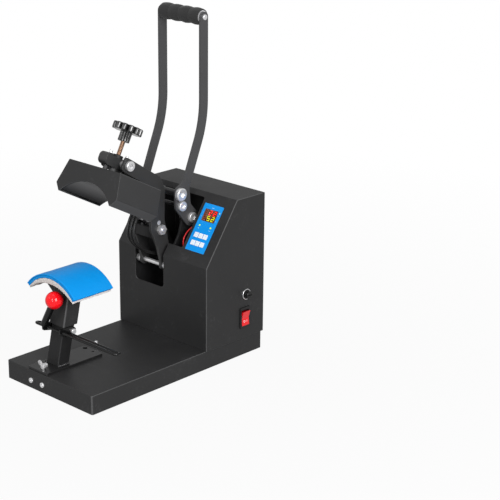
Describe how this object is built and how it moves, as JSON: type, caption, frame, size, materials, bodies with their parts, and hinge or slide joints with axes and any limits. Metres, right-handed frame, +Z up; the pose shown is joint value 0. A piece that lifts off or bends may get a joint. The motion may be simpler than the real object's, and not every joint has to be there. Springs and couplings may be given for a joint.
{
  "type": "cap heat press",
  "caption": "Clamshell cap press with a curved heated platen on a toggle-closed swing arm, a saddle pad on a post, a cap clamp and a control housing.",
  "frame": {"origin": "centre of the base's underside, on the surface that the press stands on", "axes": "+Z up; +Y from the operator at the front to the rear panel; +X to the operator's right, the side of the controls"},
  "size_m": [0.2343, 0.4066, 0.605],
  "materials": {
    "charcoal": "satin powder coat",
    "arm_paint": "satin powder coat",
    "inner_steel": "zinc plated",
    "clamp_paint": "gloss black paint",
    "foot_paint": "gloss grey paint",
    "lever_paint": "mid-grey satin paint",
    "bright": "bright plated",
    "link_steel": "bright zinc",
    "copper_screw": "copper coloured thread",
    "platen_metal": "machined",
    "knob_plastic": "moulded",
    "black_plastic": "moulded",
    "overlay_film": "printed film",
    "display_glass": "tinted window",
    "led": "clear lens",
    "key_white": "moulded",
    "red_plastic": "polished",
    "foam": "soft foam",
    "silicone": "smooth",
    "felt": "pressed felt",
    "lead_sleeve": "woven sleeve",
    "red_wire": "smooth"
  },
  "bodies": {
    "frame": {"base_pan": "charcoal", "bottom_plate": "charcoal", "stand_channel": "inner_steel", "base_fasteners": "bright", "housing_shell": "charcoal", "rear_panel": "charcoal", "panel_screws": "bright", "frame_plate_right": "arm_paint", "frame_plate_left": "arm_paint", "frame_tie": "inner_steel", "main_pivot_shaft": "bright", "fulcrum_bolts": "bright", "fuse_holder": "black_plastic", "rocker_bezel": "black_plastic", "power_inlet": "black_plastic", "power_relay": "black_plastic", "controller_case": "black_plastic", "overlay": "overlay_film", "display_window": "display_glass", "status_leds": "led", "housing_leads": "lead_sleeve", "signal_wire": "red_wire", "silicone_pad": "silicone", "pad_core": "felt", "pad_post": "arm_paint", "pad_bracket": "arm_paint", "foot_plate": "foot_paint", "clamp_pivot_bolt": "bright"},
    "lever": {"lever_bar_right": "lever_paint", "lever_bar_left": "lever_paint", "lever_shafts": "bright", "grip_tube": "inner_steel", "foam_grip": "foam"},
    "links": {"toggle_links": "link_steel"},
    "arm": {"arm_plates": "arm_paint", "arm_web": "arm_paint", "toggle_pin": "bright", "arm_leads": "lead_sleeve"},
    "yoke": {"yoke_beam": "arm_paint", "pressure_nut": "bright", "yoke_pivot_bolt": "bright"},
    "carriage": {"platen_cover": "charcoal", "guide_studs": "bright", "platen": "platen_metal"},
    "knob": {"pressure_screw": "copper_screw", "star_knob": "knob_plastic"},
    "clamp": {"clamp_arms": "clamp_paint", "bail_wire": "clamp_paint", "clamp_rod": "clamp_paint", "clamp_ball": "red_plastic", "clamp_spring": "bright"},
    "wing": {"wing_bolt": "bright"},
    "fuse_cap": {"fuse_cap": "black_plastic"},
    "rocker": {"rocker_key": "red_plastic"},
    "key_1": {"key_1": "key_white"},
    "key_2": {"key_2": "key_white"},
    "key_3": {"key_3": "key_white"},
    "key_4": {"key_4": "key_white"},
    "key_5": {"key_5": "key_white"},
    "key_6": {"key_6": "key_white"}
  },
  "joints": [
    {"name": "lever_turn", "type": "hinge", "parent": "frame", "child": "lever", "pos_m": [-0.031, 0.1115, 0.2454], "axis": [1, 0, 0], "range_deg": [0, 71.1]},
    {"name": "arm_swing", "type": "hinge", "parent": "frame", "child": "arm", "pos_m": [-0.031, 0.0695, 0.161], "axis": [1, 0, 0], "range_deg": [0, 43.51]},
    {"name": "link_turn", "type": "hinge", "parent": "lever", "child": "links", "pos_m": [-0.031, 0.0835, 0.2925], "axis": [1, 0, 0], "range_deg": [-110.12, 0]},
    {"name": "head_level", "type": "hinge", "parent": "arm", "child": "yoke", "pos_m": [-0.031, -0.00966, 0.35578], "axis": [1, 0, 0], "range_deg": [-15.51, 0]},
    {"name": "platen_slide", "type": "slide", "parent": "yoke", "child": "carriage", "axis": [0, -0.4695, -0.8829], "range_m": [0, 0.004]},
    {"name": "knob_turn", "type": "hinge", "parent": "carriage", "child": "knob", "pos_m": [-0.031, -0.00077, 0.38549], "axis": [0, -0.4695, -0.8829], "range_deg": [0, 720.1]},
    {"name": "rocker_tilt", "type": "hinge", "parent": "frame", "child": "rocker", "pos_m": [0.10635, 0.1534, 0.0715], "axis": [0, 1, 0], "range_deg": [-12, 0]},
    {"name": "fuse_cap_turn", "type": "hinge", "parent": "frame", "child": "fuse_cap", "pos_m": [0.113, 0.1565, 0.114], "axis": [1, 0, 0], "range_deg": [0, 60]},
    {"name": "clamp_turn", "type": "hinge", "parent": "frame", "child": "clamp", "pos_m": [-0.031, -0.138, 0.095], "axis": [1, 0, 0], "range_deg": [0, 30], "stiffness_Nm_per_rad": 0.25, "springref_deg": -34.38},
    {"name": "wing_turn", "type": "hinge", "parent": "frame", "child": "wing", "pos_m": [-0.031, -0.186, 0.037], "axis": [0, 0, 1], "continuous": true},
    {"name": "key_1_press", "type": "slide", "parent": "frame", "child": "key_1", "axis": [0, 0.8178, -0.5755], "range_m": [0, 0.0008], "stiffness_N_per_m": 300},
    {"name": "key_2_press", "type": "slide", "parent": "frame", "child": "key_2", "axis": [0, 0.8178, -0.5755], "range_m": [0, 0.0008], "stiffness_N_per_m": 300},
    {"name": "key_3_press", "type": "slide", "parent": "frame", "child": "key_3", "axis": [0, 0.8178, -0.5755], "range_m": [0, 0.0008], "stiffness_N_per_m": 300},
    {"name": "key_4_press", "type": "slide", "parent": "frame", "child": "key_4", "axis": [0, 0.8178, -0.5755], "range_m": [0, 0.0008], "stiffness_N_per_m": 300},
    {"name": "key_5_press", "type": "slide", "parent": "frame", "child": "key_5", "axis": [0, 0.8178, -0.5755], "range_m": [0, 0.0008], "stiffness_N_per_m": 300},
    {"name": "key_6_press", "type": "slide", "parent": "frame", "child": "key_6", "axis": [0, 0.8178, -0.5755], "range_m": [0, 0.0008], "stiffness_N_per_m": 300}
  ],
  "couplings": [
    {"joint": "arm_swing", "follows": "lever_turn", "ratio": 0.61181},
    {"joint": "link_turn", "follows": "lever_turn", "ratio": -1.5485},
    {"joint": "head_level", "follows": "lever_turn", "ratio": -0.218},
    {"joint": "knob_turn", "follows": "platen_slide", "rad_per_m": 3141.6}
  ]
}
